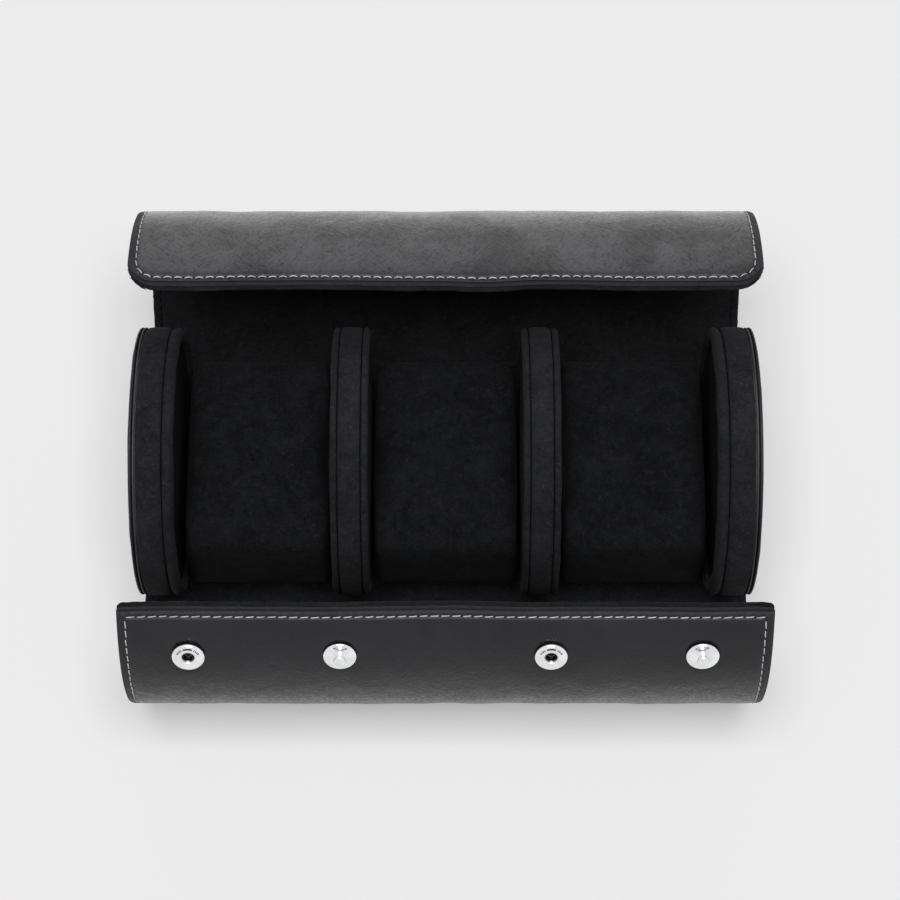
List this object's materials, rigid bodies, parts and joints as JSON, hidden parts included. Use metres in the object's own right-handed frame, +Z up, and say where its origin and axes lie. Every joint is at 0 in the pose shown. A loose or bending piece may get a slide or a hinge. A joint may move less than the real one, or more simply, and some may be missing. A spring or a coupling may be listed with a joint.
{
  "type": "watch travel case",
  "caption": "Roll-shaped leather travel case with padded discs, suede-lined bays with lift-out cushions, and two hinged panels that close with press studs.",
  "frame": {"origin": "middle of the flat strip under the spine, on which the case rests, below the shared axis of the padded discs", "axes": "+X along the case, +Z up out of the resting face, -Y towards the front panel with the press studs"},
  "size_m": [0.22, 0.1799, 0.1103],
  "materials": {
    "outer_leather": "dark charcoal smooth leather with a fine grain and a soft sheen",
    "edge_leather": "painted leather edge, satin",
    "edge_strip": "plain reinforcement strip",
    "board": "plain fibreboard",
    "suede": "black short-nap suede",
    "foam": "soft foam",
    "bright_chrome": "polished chrome plate",
    "plated_steel": "plated steel"
  },
  "bodies": {
    "tray": {"spine_leather": "outer_leather", "spine_board": "board", "spine_edge_strips": "edge_strip", "spine_lining": "suede", "floor_pad": "suede", "left_end_leather": "outer_leather", "left_end_trim": "edge_leather", "left_end_board": "board", "left_end_foam": "foam", "left_end_band": "suede", "left_end_face": "suede", "right_end_leather": "outer_leather", "right_end_trim": "edge_leather", "right_end_board": "board", "right_end_foam": "foam", "right_end_band": "suede", "right_end_face": "suede", "left_divider_band": "suede", "left_divider_faces": "suede", "left_divider_boards": "board", "left_divider_foam": "foam", "right_divider_band": "suede", "right_divider_faces": "suede", "right_divider_boards": "board", "right_divider_foam": "foam"},
    "front_panel": {"front_leather": "outer_leather", "front_board": "board", "front_edge_strip": "edge_strip", "front_lining": "suede", "front_snap_sockets": "bright_chrome", "front_snap_studs": "bright_chrome", "front_snap_springs": "plated_steel", "front_snap_backs": "plated_steel"},
    "back_panel": {"back_leather": "outer_leather", "back_board": "board", "back_edge_strips": "edge_strip", "back_lining": "suede"},
    "closing_flap": {"flap_leather": "outer_leather", "flap_board": "board", "flap_edge_strip": "edge_strip", "flap_lining": "suede", "flap_snap_sockets": "bright_chrome", "flap_snap_studs": "bright_chrome", "flap_snap_springs": "plated_steel", "flap_snap_backs": "plated_steel"},
    "left_cushion": {"left_cushion_cover": "suede", "left_cushion_foam": "foam"},
    "middle_cushion": {"middle_cushion_cover": "suede", "middle_cushion_foam": "foam"},
    "right_cushion": {"right_cushion_cover": "suede", "right_cushion_foam": "foam"}
  },
  "joints": [
    {"name": "front_panel_hinge", "type": "hinge", "parent": "tray", "child": "front_panel", "pos_m": [0, -0.01871, 0.00297], "axis": [1, 0, 0], "range_deg": [-40.41, 0]},
    {"name": "back_panel_hinge", "type": "hinge", "parent": "tray", "child": "back_panel", "pos_m": [0, 0.01871, 0.00297], "axis": [-1, 0, 0], "range_deg": [-39.87, 0]},
    {"name": "flap_fold", "type": "hinge", "parent": "back_panel", "child": "closing_flap", "pos_m": [0, 0.08331, 0.08456], "axis": [-1, 0, 0], "range_deg": [0, 30]},
    {"name": "left_cushion_lift", "type": "slide", "parent": "tray", "child": "left_cushion", "axis": [0, 0, 1], "range_m": [0, 0.095]},
    {"name": "middle_cushion_lift", "type": "slide", "parent": "tray", "child": "middle_cushion", "axis": [0, 0, 1], "range_m": [0, 0.095]},
    {"name": "right_cushion_lift", "type": "slide", "parent": "tray", "child": "right_cushion", "axis": [0, 0, 1], "range_m": [0, 0.095]}
  ]
}
